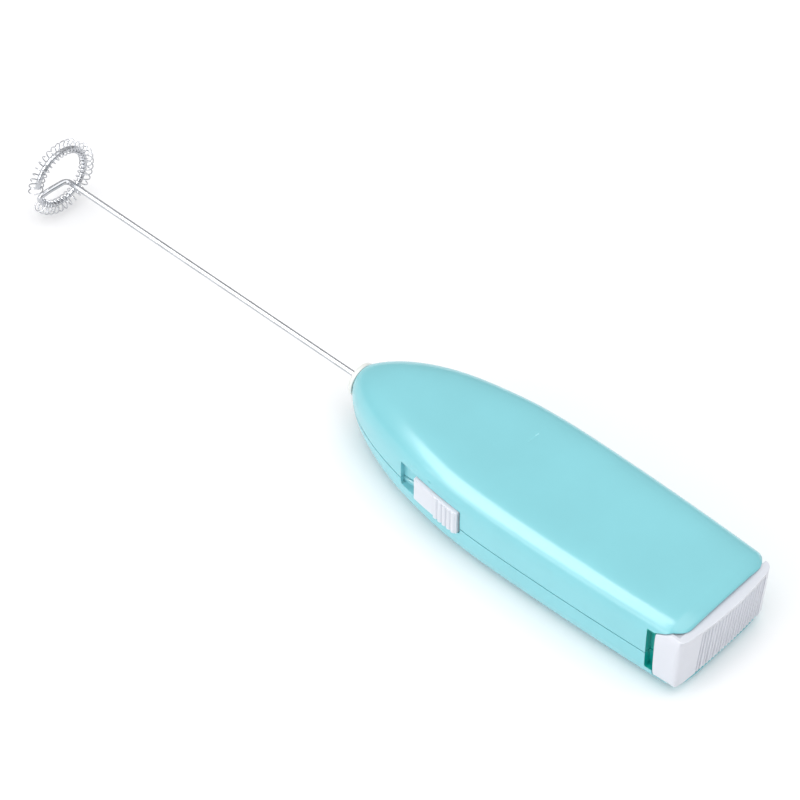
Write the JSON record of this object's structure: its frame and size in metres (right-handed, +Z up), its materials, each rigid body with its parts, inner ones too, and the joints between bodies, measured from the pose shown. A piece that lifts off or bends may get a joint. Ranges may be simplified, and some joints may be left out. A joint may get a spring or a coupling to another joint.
{
  "type": "milk frother",
  "caption": "Hand-held battery milk frother: slim two-shell handle with slide switch, sliding battery cover, motor and cells inside, and a wire whisk with a coil-wound ring.",
  "frame": {"origin": "on the surface it lies on, under the middle of its box", "axes": "+X along the whisk shaft from the whisk towards the battery cover, +Z up out of the broad top of the handle, -Y the side with the slide switch"},
  "size_m": [0.2174, 0.0376, 0.0225],
  "materials": {
    "aqua_plastic": "glossy moulded",
    "off_white_plastic": "satin moulded",
    "pale_grey_plastic": "semi-gloss moulded",
    "brass_strip": "bright stamped strip",
    "spring_steel": "nickel plated",
    "cell_jacket": "printed jacket, plain",
    "motor_steel": "zinc plated",
    "ferrite": "sintered",
    "core_iron": "laminated",
    "copper": "enamelled wire and copper sheet",
    "red_lead": "soft sleeve",
    "black_lead": "soft sleeve",
    "whisk_steel": "polished stainless wire"
  },
  "bodies": {
    "handle": {"top_shell": "aqua_plastic", "bottom_shell": "aqua_plastic", "nose_bush": "off_white_plastic", "switch_front_contact": "brass_strip", "battery_contact_strip": "brass_strip", "spring_plate": "brass_strip", "battery_spring": "spring_steel", "cell_near": "cell_jacket", "cell_far": "cell_jacket", "motor_can": "motor_steel", "motor_end_cap": "off_white_plastic", "motor_magnet_near": "ferrite", "motor_magnet_far": "ferrite", "motor_front_bearing": "brass_strip", "motor_rear_bearing": "brass_strip", "brush_near": "copper", "brush_far": "copper", "lead_switch_to_motor": "red_lead", "lead_motor_to_spring": "black_lead"},
    "whisk": {"motor_shaft": "motor_steel", "armature_core": "core_iron", "armature_winding_1": "copper", "armature_winding_2": "copper", "armature_winding_3": "copper", "commutator": "copper", "shaft_coupling": "off_white_plastic", "whisk_wire": "whisk_steel", "whisk_coil": "whisk_steel"},
    "switch": {"switch_slider": "pale_grey_plastic", "switch_bridge": "brass_strip"},
    "cover": {"battery_cover": "pale_grey_plastic", "cover_contact": "spring_steel"}
  },
  "joints": [
    {"name": "whisk_spin", "type": "hinge", "parent": "handle", "child": "whisk", "pos_m": [-0.00289, 0.00043, 0.0118], "axis": [1, 0, 0], "continuous": true},
    {"name": "switch_slide", "type": "slide", "parent": "handle", "child": "switch", "axis": [-1, 0, 0], "range_m": [0, 0.0045]},
    {"name": "cover_slide", "type": "slide", "parent": "handle", "child": "cover", "axis": [0, -1, 0], "range_m": [0, 0.03]}
  ]
}
